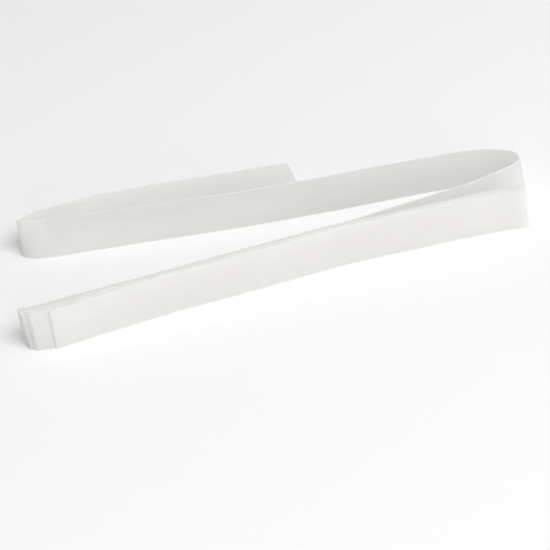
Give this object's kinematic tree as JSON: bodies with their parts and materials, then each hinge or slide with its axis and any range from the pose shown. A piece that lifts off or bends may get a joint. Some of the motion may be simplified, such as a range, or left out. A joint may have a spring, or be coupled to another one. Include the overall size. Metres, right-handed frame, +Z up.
{
  "type": "folded length of horsehair braid",
  "caption": "Length of translucent white braided stiffening tape, folded back and forth into a flat hank on its long edge, with its outer length sprung open into a hairpin loop.",
  "frame": {"origin": "on the surface that the braid's lower edge stands on, under the middle of the object's box", "axes": "+X along the folded hank, +Y from the hank towards the sprung-open loop behind it, +Z up, across the braid's width"},
  "size_m": [0.3146, 0.1372, 0.0254],
  "materials": {
    "braid": "open diagonal braid of fine clear-white monofilament, translucent, with a soft satin sheen and plain woven edges"
  },
  "bodies": {
    "root": {"braid": "braid"}
  },
  "joints": []
}
